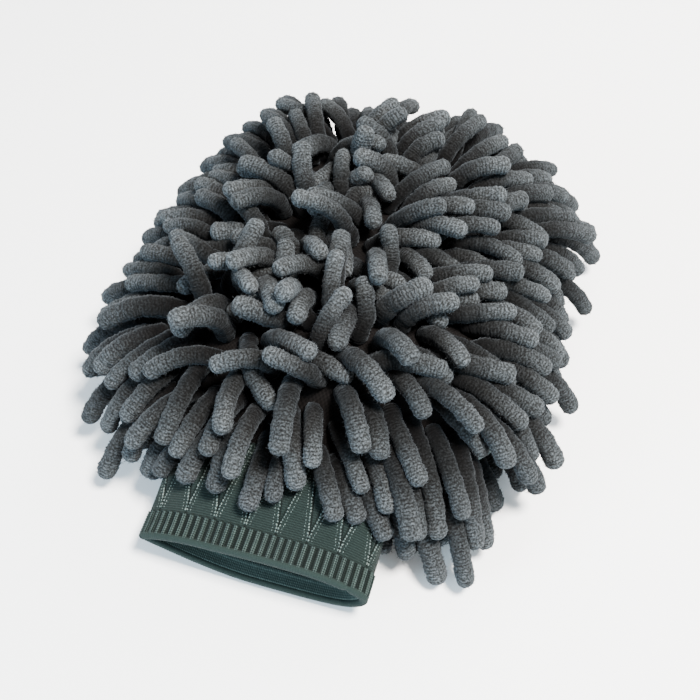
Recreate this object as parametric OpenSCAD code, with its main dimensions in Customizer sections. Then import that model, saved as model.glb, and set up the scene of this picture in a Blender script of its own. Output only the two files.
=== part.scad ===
// Chenille wash mitt, lying on its lower face with the cuff towards -Y.
// Origin: on the resting plane, under the centre of the whole mitt. Units: millimetres.
//
// One soft shape drives everything. skin(y, a, d) is a point on it: y runs from the cuff's mouth to
// the finger end, a is the angle round the section (0 at the right seam, 90 at the top), and d is
// the distance outwards from the outer face of the backing cloth.

/* [Whole mitt] */
// Length from the cuff's mouth to the tips of the finger-end noodles
mitt_len = 281; // [250:1:300]
// Height of the side seam above the resting plane
seam_height = 27; // [25:1:32]

/* [Bag] */
// Width of the bag across its side seams
bag_w = 172; // [150:2:190]
// Rise of the upper face above the side seam
dome_h = 33; // [26:1:36]
// Drop of the lower face below the side seam
belly_h = 14; // [12:1:15]
// Thickness of the backing cloth
cloth_t = 1.2; // [0.8:0.1:1.6]
// Thickness of the lining
lining_t = 0.8; // [0.6:0.1:1.2]

/* [Cuff] */
// Width of the relaxed cuff
cuff_w = 102; // [94:2:114]
// Height of the open cuff
cuff_h = 27; // [22:1:30]
// Length of the cuff that stands out of the bag
cuff_len = 46; // [36:2:50]
// Length of the ribbed band at the mouth
rib_len = 12; // [9:1:14]
// Number of ribs round the band
rib_count = 60; // [40:2:72]
// Thickness of one ply of the knitted cuff
ply_t = 1.4; // [1:0.1:1.6]

/* [Pile] */
// Distance between the noodles of a row
noodle_pitch = 10; // [9.5:0.5:13]
// Depth of the pile round the sides and at the finger end
pile_depth = 31; // [20:1:34]
// Depth of the dips between the noodle tips
dip_depth = 4; // [2:0.5:5]

/* [Hidden] */
$fn = 24;

// Stations along the mitt.
mouth_y = -mitt_len / 2;
neck_y = mouth_y + cuff_len;
tip_y = mitt_len / 2 - pile_depth;
round_y = -8;
shoulder_len = 38;
slope_past_neck = 26;
slope_len = cuff_len + slope_past_neck;
rib_end_y = mouth_y + rib_len;

// Form of the soft shape.
fullness = 2.25;
tip_power = 2.3;
tip_taper = 0.5;
mouth_lift = 1.8;
mouth_z = cuff_h / 2 + mouth_lift;
cuff_overhang = 0.75;
tip_sag = 11;
top_sag = 2;
tip_zone = 0.3;

// Layers, as distances from the backing's outer face, and the clearances between them.
gap = 0.3;
pile_root = 0.4;
row_gap = 0.2;
binding_in = 0.2;
binding_out = 1.3;
lining_out = -4.2;
lining_in = lining_out - lining_t;
allowance_out = -1.5;
allowance_in = -3.9;
allowance_half = 4;
thread_r = 0.35;
row_thread_d = -cloth_t - 0.1 - thread_r;
inner_ply_t = 1.2;
inner_ply_out = -ply_t - 1;
inner_ply_in = inner_ply_out - inner_ply_t;
elastic_d = (inner_ply_out - ply_t) / 2;
rib_rise = 0.7;
rim_r = 1.5;
rim_half = 2;
band_y = mouth_y + 2 * rim_r;
closing_seam_t = 1.2;
closing_seam_gap = 0.2;
closing_seam_end = 1;

// Angles kept clear of pile at the side seam, at the root and at the tips.
seam_clear_root = 9;
seam_clear_tip = 2.5;
binding_half = 7;

// Stations are crowded towards the finger end, where the shape curves most.
tip_crowding = 1.7;

// Where the seam's tape stops short of the finger end, and its turned-in edges start inside the neck.
binding_stop = 4;
allowance_start = 6;

// How far a row's rounded edges lie below its noodle tips, and how much of a bump is its dip.
row_shoulder = 5;
dip_share = 0.2;

upper_rows = 17;
lower_rows = 16;
function row_name(face, i) = str(face, "_noodle_row_", i < 9 ? "0" : "", i + 1);

// ---------- the soft shape ----------

function clamp(t, low, high) = max(low, min(high, t));
function smooth(t) = let (c = clamp(t, 0, 1)) c * c * (3 - 2 * c);
function mix(p, q, t) = p + (q - p) * t;
function crowded(t) = 1 - pow(1 - t, tip_crowding);

// 1 along the body, falling to 0 in a rounded end at the finger tips.
function tip_round(y, d) =
    let (s = clamp((y - round_y) / (tip_y + d - round_y), 0, 1))
    pow(max(0, 1 - pow(s, tip_power)), 1 / tip_power);

// 0 at the cuff, 1 where the bag has its full section.
function swell(y) = smooth((y - neck_y) / shoulder_len);

function half_width(y, d) =
    (mix(cuff_w, bag_w, swell(y)) / 2 + d) * (1 - tip_taper * (1 - tip_round(y, d)));
function rise(y, d) = (mix(cuff_h / 2, dome_h, swell(y)) + d) * tip_round(y, d);
function drop(y, d) = (mix(cuff_h / 2, belly_h, swell(y)) + d) * tip_round(y, d);
function seam_z(y) = mix(mouth_z, seam_height, smooth((y - mouth_y) / slope_len));

function skin(y, a, d) =
    let (e = 2 / fullness, h = sin(a) >= 0 ? rise(y, d) : drop(y, d))
    [sign(cos(a)) * half_width(y, d) * pow(abs(cos(a)), e),
     y,
     seam_z(y) + sign(sin(a)) * h * pow(abs(sin(a)), e)];

// ---------- closed solids made on the soft shape ----------

function quad(a, b, c, d) = [[a, b, c], [a, c, d]];

// Faces of a slab: an inner and an outer grid of rows by cols cells, joined round their edges.
function slab_faces(rows, cols) =
    let (at = function (layer, i, j) (layer * (rows + 1) + i) * (cols + 1) + j)
    [for (i = [0:rows - 1], j = [0:cols - 1],
          f = concat(quad(at(1, i, j), at(1, i, j + 1), at(1, i + 1, j + 1), at(1, i + 1, j)),
                     quad(at(0, i, j), at(0, i + 1, j), at(0, i + 1, j + 1), at(0, i, j + 1)))) f,
     for (j = [0:cols - 1],
          f = concat(quad(at(0, 0, j), at(0, 0, j + 1), at(1, 0, j + 1), at(1, 0, j)),
                     quad(at(0, rows, j), at(1, rows, j), at(1, rows, j + 1), at(0, rows, j + 1)))) f,
     for (i = [0:rows - 1],
          f = concat(quad(at(1, i, 0), at(1, i + 1, 0), at(0, i + 1, 0), at(0, i, 0)),
                     quad(at(1, i, cols), at(0, i, cols), at(0, i + 1, cols), at(1, i + 1, cols)))) f];

// Faces of a tube: sections of n points each, either closed into a loop or capped at both ends.
function tube_faces(n, sections, loop) =
    [for (j = [0:sections - (loop ? 1 : 2)], k = [0:n - 1],
          f = let (here = j * n, next = ((j + 1) % sections) * n, k2 = (k + 1) % n)
              quad(here + k, next + k, next + k2, here + k2)) f,
     if (!loop) for (k = [1:n - 2]) [0, k, k + 1],
     if (!loop) let (last = (sections - 1) * n) for (k = [1:n - 2]) [last, last + k + 1, last + k]];

module tube(sections, loop) {
    polyhedron(points = [for (s = sections, p = s) p],
               faces = tube_faces(len(sections[0]), len(sections), loop));
}

// A ring round the mitt; profile(a) gives its section at angle a as a list of [y, d].
module ring(profile, steps = 40) {
    tube([for (j = [0:steps - 1]) let (a = 360 * j / steps)
          [for (p = profile(a)) skin(p[0], a, p[1])]], true);
}

function box_profile(y0, y1, d0, d1) = [[y0, d0], [y0, d1], [y1, d1], [y1, d0]];
function round_profile(y, d, r, n = 4) =
    [for (k = [0:n - 1]) [y + r * cos(360 * k / n), d - r * sin(360 * k / n)]];

// Half of the bag's wall between offsets d_in and d_out; side is 1 for the upper face, -1 for the lower.
module half_bag(side, d_in, d_out, start_y, rows = 11, cols = 14) {
    seam_gap = 0.1;
    polyhedron(
        points = [for (d = [d_in, d_out], i = [0:rows], j = [0:cols])
            skin(mix(start_y, tip_y + d, crowded(i / rows)),
                 180 * j / cols + (side > 0 ? 0 : 180), d) + [0, 0, side * seam_gap]],
        faces = slab_faces(rows, cols));
}

// Path along the side seam at offset d, from the right of the neck round the finger end to the left.
function seam_path(start_y, d, steps) =
    let (right = [for (i = [0:steps]) let (y = mix(start_y, tip_y + d, crowded(i / steps)))
            [half_width(y, d), y, seam_z(y)]])
    concat(right, [for (i = [steps - 1:-1:0]) [-right[i][0], right[i][1], right[i][2]]]);

// ---------- rows ----------

// The station at offset d: pile leans over the cuff at one end and past the finger end at the other.
function station(u, d) = mix(neck_y - cuff_overhang * d, tip_y + d, u);

// [distance along the middle of one face, u], and the row edges spaced evenly along it.
function length_table(side, n = 60) =
    let (at = function (i) crowded(min(i, n) / n), point = function (i) skin(station(at(i), 0), side * 90, 0))
    [for (i = 0, s = 0; i <= n; s = s + norm(point(i + 1) - point(i)), i = i + 1) [s, at(i)]];
upper_lengths = length_table(1);
lower_lengths = length_table(-1);
function row_edge(side, i) =
    let (table = side > 0 ? upper_lengths : lower_lengths, rows = side > 0 ? upper_rows : lower_rows)
    lookup(table[len(table) - 1][0] * i / rows, table);

// Number of noodles across a row whose middle is at u.
function noodles_across(side, u, n = 24) =
    let (y = station(u, 0), p = [for (k = [0:n]) skin(y, side * 180 * k / n, 0)])
    max(3, floor(([for (k = 0, s = 0; k <= n; s = s + (k < n ? norm(p[k + 1] - p[k]) : 0), k = k + 1) s][n])
                 / noodle_pitch));

// ---------- fabric ----------

module upper_backing_cloth() {
    color("#4a5558") half_bag(1, -cloth_t, 0, neck_y + gap);
}

module lower_backing_cloth() {
    color("#4a5558") half_bag(-1, -cloth_t, 0, neck_y + gap);
}

module upper_lining() {
    color("#7d8789") half_bag(1, lining_in, lining_out, neck_y + gap);
}

module lower_lining() {
    color("#7d8789") half_bag(-1, lining_in, lining_out, neck_y + gap);
}

// Pale tape that covers the joint of the two faces.
module side_seam_binding(rows = 16) {
    color("#8fa5a8")
    for (end = [0, 180])
        polyhedron(
            points = [for (d = [binding_in, binding_out], i = [0:rows], a = [-binding_half, 0, binding_half])
                skin(mix(neck_y + gap, tip_y - binding_stop, crowded(i / rows)), a + end, d)],
            faces = slab_faces(rows, 2));
}

// The turned-in edges of the two faces, lying together inside the bag.
module side_seam_allowance(steps = 14) {
    inner = seam_path(neck_y + allowance_start, allowance_in, steps);
    outer = seam_path(neck_y + allowance_start, allowance_out, steps);
    up = [0, 0, allowance_half];
    color("#4a5558")
    tube([for (i = [0:2 * steps]) [inner[i] - up, inner[i] + up, outer[i] + up, outer[i] - up]], false);
}

// Overlock thread that runs up and down along the turned-in edges.
module side_seam_stitches(steps = 34, swing = 0.8) {
    inward = allowance_in - gap - thread_r;
    path = seam_path(neck_y + allowance_start, inward, steps);
    wave = function (i) [0, 0, (i % 2 == 0 ? -1 : 1) * swing * allowance_half];
    turn = function (i) let (t = path[min(i + 1, 2 * steps)] - path[max(i - 1, 0)])
           thread_r * [t[1], -t[0], 0] / norm(t);
    up = [0, 0, thread_r];
    color("#20292b")
    tube([for (i = [0:2 * steps]) let (c = path[i] + wave(i), out = turn(i))
          [c - out - up, c - out + up, c + out + up, c + out - up]], false);
}

// Lines of thread on the inside of the backing, one under each row of noodles.
module row_stitching(side, steps = 9, clear = 16) {
    rows = side > 0 ? upper_rows : lower_rows;
    for (i = [0:rows - 2]) {
        y = station((row_edge(side, i) + row_edge(side, i + 1)) / 2, row_thread_d);
        tube([for (j = [0:steps]) let (a = (side > 0 ? 0 : 180) + mix(clear, 180 - clear, j / steps))
              [for (p = round_profile(y, row_thread_d, thread_r, 3)) skin(p[0], a, p[1])]], false);
    }
}

module upper_row_stitching() {
    color("#20292b") row_stitching(1);
}

module lower_row_stitching() {
    color("#20292b") row_stitching(-1);
}

// ---------- cuff ----------

module cuff_sleeve() {
    color("#3f4d4d") ring(function (a) box_profile(rib_end_y + gap, neck_y - gap, -ply_t, 0), 48);
}

// Upright ribs stand a little proud of the sleeve.
module cuff_rib_band() {
    color("#8b9a9c")
    ring(function (a) let (out = cos(a * rib_count) > 0 ? rib_rise : 0)
         box_profile(band_y + gap, rib_end_y, -ply_t, out), 2 * rib_count);
}

// The fold at the mouth, where the knit turns in.
module cuff_folded_rim() {
    middle = (inner_ply_in + rib_rise) / 2;
    color("#5f6f71")
    ring(function (a) [for (p = round_profile(0, 0, 1, 6))
                       [mouth_y + rim_r * (1 + p[0]), middle + rim_half * p[1]]], 44);
}

module cuff_inner_ply() {
    color("#66787a")
    ring(function (a) box_profile(band_y + gap, neck_y - gap, inner_ply_in, inner_ply_out), 40);
}

// Elastic threads laid between the two plies under the ribs.
module cuff_elastic_threads(count = 3) {
    color("#101415")
    for (k = [1:count])
        ring(function (a) round_profile(mix(band_y, rib_end_y, k / (count + 1)), elastic_d, thread_r), 30);
}

// Zigzag thread that holds the sleeve to the backing, inside the neck.
module cuff_joining_stitches(zigzag = 2.4, steps = 72) {
    color("#20292b")
    tube([for (j = [0:steps - 1]) let (a = 360 * j / steps, y = neck_y + (j % 2 == 0 ? zigzag : -zigzag))
          [for (p = round_profile(y, -ply_t - 2 * thread_r, thread_r)) skin(p[0], a, p[1])]], true);
}

// Flat seam that closes the cuff near its right side, inside the inner ply.
module cuff_closing_seam(steps = 6, half = 5, turn = 20) {
    seam_out = inner_ply_in - closing_seam_gap;
    color("#4a5558")
    polyhedron(
        points = [for (d = [seam_out - closing_seam_t, seam_out], i = [0:steps], a = [-half, 0, half])
            skin(mix(band_y + closing_seam_end, neck_y - closing_seam_end, i / steps), turn + a, d)],
        faces = slab_faces(steps, 2));
}

// ---------- noodles ----------

// How far the tips sink: most round the sides and in the tip zone at the finger end, least on top.
function sag(u, a, d) =
    pow(d / pile_depth, 2) * mix(top_sag, tip_sag, max(abs(cos(a)), smooth((u - 1 + tip_zone) / tip_zone)));

// The space one row of noodles fills, with a bump at each noodle's tip. Lower rows are pressed
// flat by the mitt's weight where they meet the resting plane.
module noodle_row(side, i) {
    edge_gap = row_gap / (tip_y - neck_y);
    u0 = row_edge(side, i) + edge_gap;
    u1 = min(row_edge(side, i + 1), 1) - edge_gap;
    end_drop = i == (side > 0 ? upper_rows : lower_rows) - 1 ? 0 : row_shoulder;
    count = noodles_across(side, (u0 + u1) / 2);
    turns = concat([for (k = [0:count - 1], phase = [0, 0.5]) k + phase], [count]);
    shift = i % 2 == 0 ? 0 : 0.5;
    section = function (turn)
        let (dip = abs(turn + shift - round(turn + shift)) > dip_share ? 0 : dip_depth,
             top = pile_depth - dip)
        [for (p = [[0, pile_root], [0, top - row_shoulder], [0.5, top], [1, top - end_drop], [1, pile_root]])
            let (clear = p[1] > pile_root ? seam_clear_tip : seam_clear_root,
                 a = (side > 0 ? 0 : 180) + mix(clear, 180 - clear, turn / count),
                 u = mix(u0, u1, p[0]),
                 q = skin(station(u, p[1]), a, p[1]))
            [q[0], q[1], max(q[2] - sag(u, a, p[1]), 0)]];
    color("#5d676b") tube([for (t = turns) section(t)], false);
}

upper_backing_cloth();
lower_backing_cloth();
upper_lining();
lower_lining();
side_seam_binding();
side_seam_allowance();
side_seam_stitches();
upper_row_stitching();
lower_row_stitching();
cuff_sleeve();
cuff_rib_band();
cuff_folded_rim();
cuff_inner_ply();
cuff_elastic_threads();
cuff_joining_stitches();
cuff_closing_seam();
for (i = [0:upper_rows - 1]) noodle_row(1, i);
for (i = [0:lower_rows - 1]) noodle_row(-1, i);
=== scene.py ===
"""Looks for a chenille wash mitt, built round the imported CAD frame. Everything is in metres."""

import math

import bpy
import numpy as np
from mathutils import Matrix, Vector


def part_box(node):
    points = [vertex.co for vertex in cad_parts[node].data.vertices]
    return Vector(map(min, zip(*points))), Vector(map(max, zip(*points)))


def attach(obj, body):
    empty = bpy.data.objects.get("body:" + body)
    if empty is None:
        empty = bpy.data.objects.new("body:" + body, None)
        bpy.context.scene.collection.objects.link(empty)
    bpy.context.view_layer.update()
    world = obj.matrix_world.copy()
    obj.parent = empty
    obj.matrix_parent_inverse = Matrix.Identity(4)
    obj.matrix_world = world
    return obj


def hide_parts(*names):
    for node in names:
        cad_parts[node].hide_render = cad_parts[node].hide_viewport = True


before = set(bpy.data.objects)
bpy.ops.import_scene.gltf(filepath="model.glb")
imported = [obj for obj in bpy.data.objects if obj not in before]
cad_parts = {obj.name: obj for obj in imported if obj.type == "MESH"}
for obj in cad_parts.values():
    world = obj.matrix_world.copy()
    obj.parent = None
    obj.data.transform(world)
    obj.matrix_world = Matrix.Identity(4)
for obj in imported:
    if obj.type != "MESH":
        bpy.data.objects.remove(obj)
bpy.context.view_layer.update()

MM = 0.001
ALONG_MITT = np.array([0.0, 1.0, 0.0])
UPWARDS = np.array([0.0, 0.0, 1.0])
rng = np.random.default_rng(7)

# ---------- sizes read from the frame ----------


def low(node):
    return np.array(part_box(node)[0])


def high(node):
    return np.array(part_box(node)[1])


ALLOWANCE_HALF = 4 * MM
MOUTH_Y = low("cuff_folded_rim")[1]
NECK_Y = low("upper_backing_cloth")[1]
TIP_Y = high("upper_backing_cloth")[1]
BAG_HALF = high("upper_backing_cloth")[0]
CUFF_HALF = high("cuff_sleeve")[0]
CUFF_LEN = NECK_Y - MOUTH_Y
SEAM_Z = high("side_seam_allowance")[2] - ALLOWANCE_HALF
DOME_RISE = high("upper_backing_cloth")[2] - SEAM_Z
UPPER_ROWS = sorted(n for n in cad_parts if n.startswith("upper_noodle_row"))
LOWER_ROWS = sorted(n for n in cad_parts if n.startswith("lower_noodle_row"))

# Form of the soft shape, as the design states it.
BELLY_DROP = 14 * MM
CUFF_RISE = 13.5 * MM
MOUTH_Z = CUFF_RISE + 1.8 * MM
ROUND_Y = -8 * MM
SHOULDER = 38 * MM
SLOPE = 72 * MM
FULLNESS = 2.25
TIP_POWER = 2.3
TIP_TAPER = 0.5

# Layers of the bag, as distances from the backing's outer face, and the seams.
CLOTH = 1.2 * MM
LINING = 0.8 * MM
LINING_OUT = -4.2 * MM
START_GAP = 0.3 * MM
BINDING_IN = 0.2 * MM
BINDING_OUT = 1.3 * MM
BINDING_HALF = math.radians(7)
BINDING_STOP = 4 * MM
ALLOWANCE_OUT = -1.5 * MM
ALLOWANCE_IN = -3.9 * MM
ALLOWANCE_START = NECK_Y + 6 * MM
THREAD_R = 0.35 * MM

# Noodles. The lower ones are shorter.
NOODLE_R = 4.3 * MM
NOODLE_LEN = 37 * MM
LENGTH_SPREAD = 3.5 * MM
LOWER_SHARE = 0.74
PITCH = 10 * MM
BEADS = 11

# ---------- curves and the soft shape ----------


def smooth(t):
    t = np.clip(t, 0, 1)
    return t * t * (3 - 2 * t)


def mix(p, q, t):
    return p + (q - p) * t


def unit(v):
    return v / np.maximum(np.linalg.norm(v, axis=-1, keepdims=True), 1e-12)


def triangle_wave(t):
    return np.abs(2 * (t - np.floor(t + 0.5)))


def crowded(count, power):
    """Numbers from 0 to 1, crowded towards 1 as power rises above 1."""
    return 1 - (1 - np.linspace(0, 1, count)) ** power


def run_along(p):
    """Distance along a path to each of its points."""
    return np.concatenate([[0], np.cumsum(np.linalg.norm(np.diff(p, axis=0), axis=1))])


def open_length(path):
    return float(np.linalg.norm(np.diff(path, axis=0), axis=1).sum())


def tip_round(y, d):
    s = np.clip((y - ROUND_Y) / (TIP_Y + d - ROUND_Y), 0, 1)
    return (1 - s**TIP_POWER) ** (1 / TIP_POWER)


def swell(y):
    return smooth((y - NECK_Y) / SHOULDER)


def half_width(y, d):
    return (mix(CUFF_HALF, BAG_HALF, swell(y)) + d) * (1 - TIP_TAPER * (1 - tip_round(y, d)))


def rise(y, d):
    return (mix(CUFF_RISE, DOME_RISE, swell(y)) + d) * tip_round(y, d)


def drop(y, d):
    return (mix(CUFF_RISE, BELLY_DROP, swell(y)) + d) * tip_round(y, d)


def seam_z(y):
    return mix(MOUTH_Z, SEAM_Z, smooth((y - MOUTH_Y) / SLOPE))


def skin(y, a, d):
    """Points of the soft shape at stations y, angles a in radians and offsets d from the cloth."""
    y, a, d = np.broadcast_arrays(np.asarray(y, float), a, d)
    power = 2 / FULLNESS
    height = np.where(np.sin(a) >= 0, rise(y, d), drop(y, d))
    x = np.sign(np.cos(a)) * half_width(y, d) * np.abs(np.cos(a)) ** power
    z = seam_z(y) + np.sign(np.sin(a)) * height * np.abs(np.sin(a)) ** power
    return np.stack([x, y, z], -1)


def skin_normal(y, a):
    step_y, step_a = 0.5 * MM, math.radians(1)
    y = np.minimum(y, TIP_Y - MM)
    along = skin(y + step_y, a, 0) - skin(y - step_y, a, 0)
    across = skin(y, a + step_a, 0) - skin(y, a - step_a, 0)
    return unit(np.cross(across, along) * -1)


# ---------- roots of the noodles ----------

ROOT_CLEAR = math.radians(9)
ROW_CROWDING = 1.6
ROW_WANDER = 0.8 * MM
LAST_ROOT = TIP_Y - 0.6 * MM


def row_stations(rows, side):
    """Stations of the rows, spaced evenly along the middle of one face."""
    y = mix(NECK_Y, TIP_Y, crowded(200, ROW_CROWDING))
    s = run_along(skin(y, side * math.pi / 2, 0))
    return np.interp((np.arange(rows) + 0.5) * s[-1] / rows, s, y)


def row_roots(y, side, shifted):
    """Evenly spaced angles across one row; every other row is shifted by half a pitch."""
    a = np.linspace(ROOT_CLEAR, math.pi - ROOT_CLEAR, 120) + (0 if side > 0 else math.pi)
    s = run_along(skin(y, a, 0))
    count = max(3, int(s[-1] / PITCH))
    place = (np.arange(count) + (0.75 if shifted else 0.25)) / count
    return np.interp(np.clip(place, 0.02, 0.98) * s[-1], s, a)


# Crowns that the upper noodles lean away from, as x, y on the mitt, and how far round them they stand up.
CROWNS = np.array([[-17, -36], [-10, 50]]) * MM
CROWN_REACH = 75 * MM
CROWN_CORE = 8 * MM
CROWN_EASE = 6 * MM
BELLY_CENTRE = np.array([[0.0, 10.0]]) * MM

# Corners where noodles point outwards and are longer: centre in mm, direction, extra length as a share.
# The one of negative growth keeps the right side of the cuff clear.
TUFTS = (
    ((-62, 95), (-1.0, 0.75, 0.1), 0.38),
    ((10, 108), (0.0, 0.8, 0.15), 0.25),
    ((72, 66), (0.5, 0.6, 0.1), 0.18),
    ((66, -88), (-0.1, -1.5, -0.1), 0.5),
    ((34, -92), (0.7, 0.25, 0.1), -0.12),
    ((-80, -74), (-0.2, -1.0, -0.1), 0.2),
)
TUFT_REACH = 30 * MM

# Shares of each direction in the way a noodle leaves the cloth.
UPPER_OUTWARDS = 0.9
LEAN_AT_CROWN = -0.4
LEAN_ROUND_CROWN = 0.85
SINK = 0.6
UPPER_STRAY = 0.22
STRAY_AT_CROWN = 2.2
STRAY_FALL = 1.2
LOWER_OUTWARDS = 0.25
LOWER_STRAY = 0.12


def lean_away(p, centres):
    """Horizontal direction away from the nearest of the centres, and 0 at a centre rising to 1 round it."""
    away = p[:, None, :2] - centres[None]
    dist = np.linalg.norm(away, axis=2, keepdims=True)
    weight = 1 / (dist + CROWN_CORE) ** 3
    flat = unit((away / (dist + CROWN_EASE) * weight).sum(1) / weight.sum(1))
    return np.concatenate([flat, np.zeros((len(p), 1))], 1), smooth(dist.min(1) / CROWN_REACH)


def tufts(p):
    """Push outwards and share of extra length that the tufts give the noodles at points p."""
    push, growth = np.zeros((len(p), 3)), np.zeros(len(p))
    for centre, way, extra in TUFTS:
        dist = np.linalg.norm(p[:, :2] - np.array(centre) * MM, axis=1)
        weight = np.exp(-((dist / TUFT_REACH) ** 2))
        push += weight[:, None] * np.array(way)
        growth += weight * extra
    return push, growth


def start_ways(p, n, side):
    """Directions in which the noodles leave the cloth at points p with normals n."""
    n = n + tufts(p)[0]
    if side > 0:
        away, far = lean_away(p, CROWNS)
        stray = rng.normal(0, UPPER_STRAY, p.shape) * (STRAY_AT_CROWN - STRAY_FALL * far)
        lean = away * mix(LEAN_AT_CROWN, LEAN_ROUND_CROWN, far)
        return unit(n * UPPER_OUTWARDS + lean - UPWARDS * SINK * far**2 + stray)
    away, _ = lean_away(p, BELLY_CENTRE)
    return unit(n * LOWER_OUTWARDS + away + rng.normal(0, LOWER_STRAY, p.shape))


def plant():
    """Root, start direction and row number of every noodle."""
    roots, ways, rows = [], [], []
    for names, side in ((UPPER_ROWS, 1), (LOWER_ROWS, -1)):
        for i, y in enumerate(row_stations(len(names), side)):
            a = row_roots(y, side, i % 2 == 1)
            y_all = np.full(len(a), y) + rng.normal(0, ROW_WANDER, len(a))
            y_all = np.minimum(y_all, LAST_ROOT)
            p = skin(y_all, a, 0)
            roots.append(p)
            ways.append(start_ways(p, skin_normal(y_all, a), side))
            rows.append(np.full(len(a), len(rows)))
    return (np.concatenate(v) for v in (roots, ways, rows))


def noodle_lengths(roots, rows):
    n = len(roots)
    lengths = np.clip(rng.normal(NOODLE_LEN, LENGTH_SPREAD, n), 0.75 * NOODLE_LEN, 1.2 * NOODLE_LEN)
    lengths *= np.where(rows < len(UPPER_ROWS), 1, LOWER_SHARE)
    return lengths * (1 + tufts(roots)[1])


# ---------- the pile falls into place ----------

STEPS = 130
INNER_STEPS = 5
STEP_TIME = 1 / 240
GRAVITY = np.array([0, 0, -9.8])
DAMPING = 0.94
TOP_SPEED = 1.2
ARC_STRENGTH = 0.35
# How firmly each bead is held on the line along which its noodle leaves the cloth.
HOLD = 0.5 * 0.48 ** np.arange(BEADS)

# Beads start slim and are TOUCH thick half way through the steps.
TOUCH = 2 * NOODLE_R * 0.93
SLIM_START = 0.35
# Pairs are found every few steps, a little further out than they touch.
PAIR_STEPS = 6
PAIR_MARGIN = 3 * MM
SHARED_PUSH = 0.6

# How near the middle of a noodle comes to the cloth and to the floor.
CLOTH_NEAR = NOODLE_R * 0.8
FLOOR_NEAR = NOODLE_R * 0.96

# Least sections of the bag and the steps in the search for its surface.
LEAST_HALF = 1 * MM
LEAST_HEIGHT = 0.3 * MM
PROBE = 0.1 * MM
LONGEST_STEP = 2 * MM


def inside_bag(p, margin):
    """How deep points are inside the bag and cuff grown by margin, as the step that brings them out."""

    def level(q):
        y = np.clip(q[:, 1], MOUTH_Y, TIP_Y + margin)
        w = np.maximum(half_width(y, margin), LEAST_HALF)
        h = np.maximum(np.where(q[:, 2] >= seam_z(y), rise(y, margin), drop(y, margin)), LEAST_HEIGHT)
        return (np.abs(q[:, 0]) / w) ** FULLNESS + (np.abs(q[:, 2] - seam_z(y)) / h) ** FULLNESS

    near = np.nonzero((p[:, 1] > MOUTH_Y) & (p[:, 1] < TIP_Y + margin))[0]
    out, q = np.zeros_like(p), p[near]
    f = level(q)
    deep = f < 1
    near, q, f = near[deep], q[deep], f[deep]
    if len(q) == 0:
        return out
    grad = np.stack([(level(q + PROBE * e) - level(q - PROBE * e)) / (2 * PROBE) for e in np.eye(3)], 1)
    size = np.maximum((grad**2).sum(1), 1e-9)
    step = grad * ((1 - f) / size)[:, None]
    length = np.linalg.norm(step, axis=1, keepdims=True)
    out[near] = step * np.minimum(1, LONGEST_STEP / np.maximum(length, 1e-9))
    return out


def close_pairs(p, chain, reach):
    """Pairs of beads of different noodles that are nearer than reach."""
    sq = (p**2).sum(1)
    first, second = [], []
    block = 600
    for start in range(0, len(p), block):
        q = p[start : start + block]
        d2 = sq[start : start + block, None] + sq[None] - 2 * q @ p.T
        i, j = np.nonzero(d2 < reach**2)
        i += start
        keep = (i < j) & (chain[i] != chain[j])
        first.append(i[keep])
        second.append(j[keep])
    return np.concatenate(first), np.concatenate(second)


def spread(index, vectors, count):
    """Sum of the vectors that belong to each index."""
    return np.stack([np.bincount(index, vectors[:, k], count) for k in range(3)], 1)


def arc_fit():
    """Matrix that turns a chain of beads, seen from its root, into the nearest single arc."""
    s = np.linspace(0, 1, BEADS)
    basis = np.stack([s, s**2], 1)
    return basis @ np.linalg.pinv(basis)


def keep_lengths(p, seg):
    """Neighbouring beads go back to their distance; the roots stay where they are."""
    for start in (0, 1):
        a, b = p[:, start : BEADS - 1 : 2], p[:, start + 1 : BEADS : 2]
        gap = b - a
        length = np.linalg.norm(gap, axis=2, keepdims=True)
        shift = gap * (1 - seg[:, None, None] / np.maximum(length, 1e-9))
        root = (np.arange(start, BEADS - 1, 2) == 0)[None, :, None]
        p[:, start : BEADS - 1 : 2] += np.where(root, 0, 0.5) * shift
        p[:, start + 1 : BEADS : 2] -= np.where(root, 1, 0.5) * shift


def push_apart(flat, pairs, touch):
    """Moves that part the beads of touching noodles."""
    i, j = pairs
    gap = flat[j] - flat[i]
    length = np.linalg.norm(gap, axis=1)
    over = np.nonzero(length < touch)[0]
    i, j, gap, length = i[over], j[over], gap[over], length[over]
    part = gap * ((touch - length) / np.maximum(length, 1e-9) * 0.5)[:, None]
    moves = spread(j, part, len(flat)) - spread(i, part, len(flat))
    count = np.bincount(i, minlength=len(flat)) + np.bincount(j, minlength=len(flat))
    return moves / np.maximum(count * SHARED_PUSH, 1)[:, None]


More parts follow.
